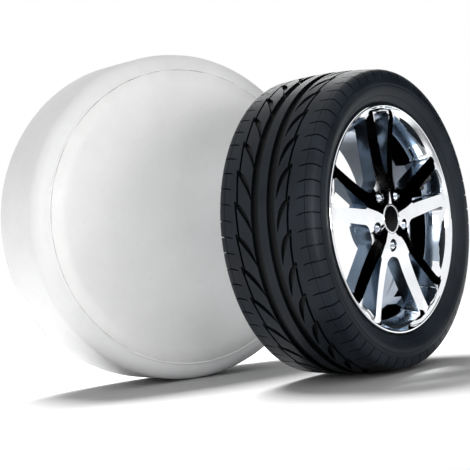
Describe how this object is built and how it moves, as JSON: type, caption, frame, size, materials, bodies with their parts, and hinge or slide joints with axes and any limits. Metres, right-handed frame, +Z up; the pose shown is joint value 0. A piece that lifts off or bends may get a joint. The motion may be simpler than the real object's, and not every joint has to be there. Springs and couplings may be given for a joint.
{
  "type": "wheel cover set",
  "caption": "Round white vinyl cover with elastic back hem over an upright wheel, beside a bare alloy wheel with a low tyre.",
  "frame": {"origin": "on the floor, under the middle of the box round the whole set", "axes": "+Z up; the front panel of the cover faces -Y; +X is to the right of someone looking along +Y; the bare wheel stands in front and to the right, turned 24.9 degrees about Z"},
  "size_m": [0.8944, 0.922, 0.7564],
  "materials": {
    "cover_vinyl": "white vinyl-coated fabric, soft sheen, fine grain",
    "welt_vinyl": "white vinyl piping, satin",
    "elastic_cord": "braided elastic cord, matt",
    "tyre_rubber": "black tread rubber, satin",
    "bead_steel": "bronze-coated bead wire",
    "alloy_chrome": "cast alloy, chrome plated, mirror bright",
    "cap_plastic": "black moulded plastic, glossy",
    "cap_chrome": "chromed ring, mirror bright",
    "spring_steel": "bright spring wire",
    "valve_rubber": "black moulded rubber, matt",
    "valve_brass": "turned brass",
    "valve_steel": "plain steel pin"
  },
  "bodies": {
    "cover": {"cover_front_panel": "cover_vinyl", "cover_welt": "welt_vinyl", "cover_side_band": "cover_vinyl", "cover_rear_skirt": "cover_vinyl", "cover_hem_casing": "cover_vinyl", "cover_elastic": "elastic_cord"},
    "covered_wheel": {"covered_tyre": "tyre_rubber", "covered_bead_cores": "bead_steel", "covered_alloy_wheel": "alloy_chrome", "covered_valve_stem": "valve_rubber", "covered_valve_tube": "valve_brass", "covered_valve_core": "valve_brass", "covered_valve_spring": "spring_steel"},
    "covered_cap": {"covered_centre_cap": "cap_plastic", "covered_cap_ring": "cap_chrome", "covered_cap_spring": "spring_steel"},
    "covered_valve_cap": {"covered_valve_cap": "cap_plastic"},
    "covered_valve_pin": {"covered_valve_pin": "valve_steel"},
    "display_wheel": {"display_tyre": "tyre_rubber", "display_bead_cores": "bead_steel", "display_alloy_wheel": "alloy_chrome", "display_valve_stem": "valve_rubber", "display_valve_tube": "valve_brass", "display_valve_core": "valve_brass", "display_valve_spring": "spring_steel"},
    "display_cap": {"display_centre_cap": "cap_plastic", "display_cap_ring": "cap_chrome", "display_cap_spring": "spring_steel"},
    "display_valve_cap": {"display_valve_cap": "cap_plastic"},
    "display_valve_pin": {"display_valve_pin": "valve_steel"}
  },
  "joints": [
    {"name": "covered_wheel_pull_out", "type": "slide", "parent": "cover", "child": "covered_wheel", "axis": [0, 1, 0], "range_m": [0, 0.3], "deforming": ["cover_rear_skirt", "cover_hem_casing", "cover_elastic"]},
    {"name": "display_wheel_roll", "type": "hinge", "parent": "cover", "child": "display_wheel", "pos_m": [0.1109, -0.2229, 0.3266], "axis": [0.421, -0.907, 0], "continuous": true},
    {"name": "display_cap_pull", "type": "slide", "parent": "display_wheel", "child": "display_cap", "axis": [0.421, -0.907, 0], "range_m": [0, 0.013]},
    {"name": "display_valve_cap_pull", "type": "slide", "parent": "display_wheel", "child": "display_valve_cap", "axis": [-0.3593, -0.9045, -0.2296], "range_m": [0, 0.012]},
    {"name": "display_valve_pin_press", "type": "slide", "parent": "display_wheel", "child": "display_valve_pin", "axis": [0.3593, 0.9045, 0.2296], "range_m": [0, 0.0015], "stiffness_N_per_m": 60, "springref_m": -0.002, "deforming": ["display_valve_spring"]},
    {"name": "covered_cap_pull", "type": "slide", "parent": "covered_wheel", "child": "covered_cap", "axis": [0, -1, 0], "range_m": [0, 0.013]},
    {"name": "covered_valve_cap_pull", "type": "slide", "parent": "covered_wheel", "child": "covered_valve_cap", "axis": [-0.7068, -0.6691, -0.2296], "range_m": [0, 0.012]},
    {"name": "covered_valve_pin_press", "type": "slide", "parent": "covered_wheel", "child": "covered_valve_pin", "axis": [0.7068, 0.6691, 0.2296], "range_m": [0, 0.0015], "stiffness_N_per_m": 60, "springref_m": -0.002, "deforming": ["covered_valve_spring"]}
  ]
}
